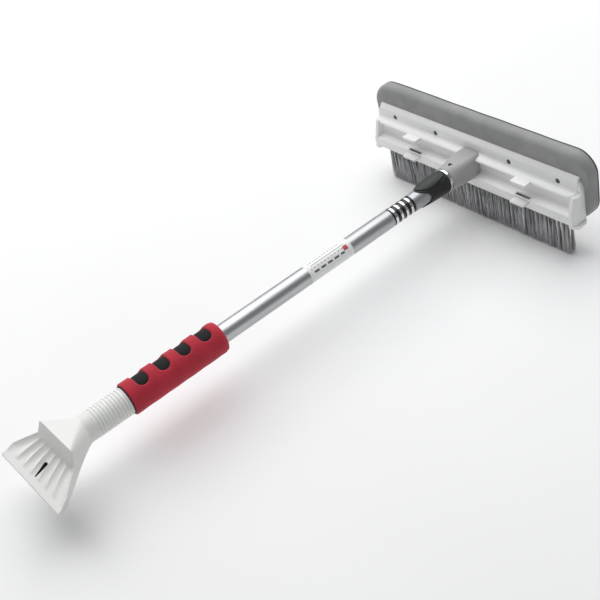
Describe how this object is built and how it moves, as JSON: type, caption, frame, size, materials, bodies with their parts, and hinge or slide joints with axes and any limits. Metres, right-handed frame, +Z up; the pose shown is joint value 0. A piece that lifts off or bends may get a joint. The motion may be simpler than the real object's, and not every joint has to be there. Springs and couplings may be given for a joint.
{
  "type": "snow broom",
  "caption": "Car snow broom: ice scraper, soft two-layer grip and metal tube handle, and a turning head with a foam push pad and a row of bristles.",
  "frame": {"origin": "under the middle of the whole broom, level with the bristle tips", "axes": "+X along the handle from the scraper to the head, +Y across the head, +Z up, bristles point to -Z"},
  "size_m": [0.569, 0.301, 0.1101],
  "materials": {
    "white_plastic": "satin moulded",
    "grey_plastic": "satin moulded",
    "carrier_plastic": "moulded",
    "block_plastic": "satin moulded",
    "tube_metal": "anodised satin",
    "label_film": "printed film",
    "grip_foam_black": "closed-cell foam",
    "grip_foam_red": "closed-cell foam",
    "ferrule_black": "gloss",
    "ring_chrome": "plated",
    "neck_silver": "silver paint",
    "neck_rubber": "soft overmould",
    "latch_plastic": "fine texture",
    "steel": "plain",
    "spring_steel": "plain",
    "screw_black": "blackened",
    "pad_foam": "closed-cell foam",
    "bristle": "filament tufts"
  },
  "bodies": {
    "handle": {"scraper_head": "white_plastic", "scraper_rivet": "steel", "handle_tube": "tube_metal", "tube_label": "label_film", "grip_inner": "grip_foam_black", "grip_outer": "grip_foam_red", "ferrule_collar": "ferrule_black", "ferrule_ring_1": "ring_chrome", "ferrule_ring_2": "ring_chrome", "ferrule_ring_3": "ring_chrome", "ferrule_ring_4": "ring_chrome", "neck_core": "neck_silver", "neck_cover": "neck_rubber", "neck_trim_ring": "ring_chrome", "neck_rivet": "steel", "latch_pin": "steel", "latch_spring": "spring_steel"},
    "latch": {"thumb_latch": "latch_plastic"},
    "head": {"head_socket": "grey_plastic", "socket_screws": "steel", "head_frame": "white_plastic", "pad_carrier": "carrier_plastic", "foam_pad": "pad_foam", "pad_screw_1": "screw_black", "pad_screw_2": "screw_black", "pad_screw_3": "screw_black", "pad_screw_4": "screw_black", "bristle_block": "block_plastic", "bristle_row_1": "bristle", "bristle_row_2": "bristle", "bristle_row_3": "bristle"}
  },
  "joints": [
    {"name": "head_turn", "type": "hinge", "parent": "handle", "child": "head", "pos_m": [0.2385, 0, 0.061], "axis": [1, 0, 0], "continuous": true},
    {"name": "latch_press", "type": "hinge", "parent": "handle", "child": "latch", "pos_m": [0.1895, 0, 0.0665], "axis": [0, 1, 0], "range_deg": [0, 4.5], "stiffness_Nm_per_rad": 0.05, "springref_deg": -14.32, "deforming": ["latch_spring"]}
  ]
}
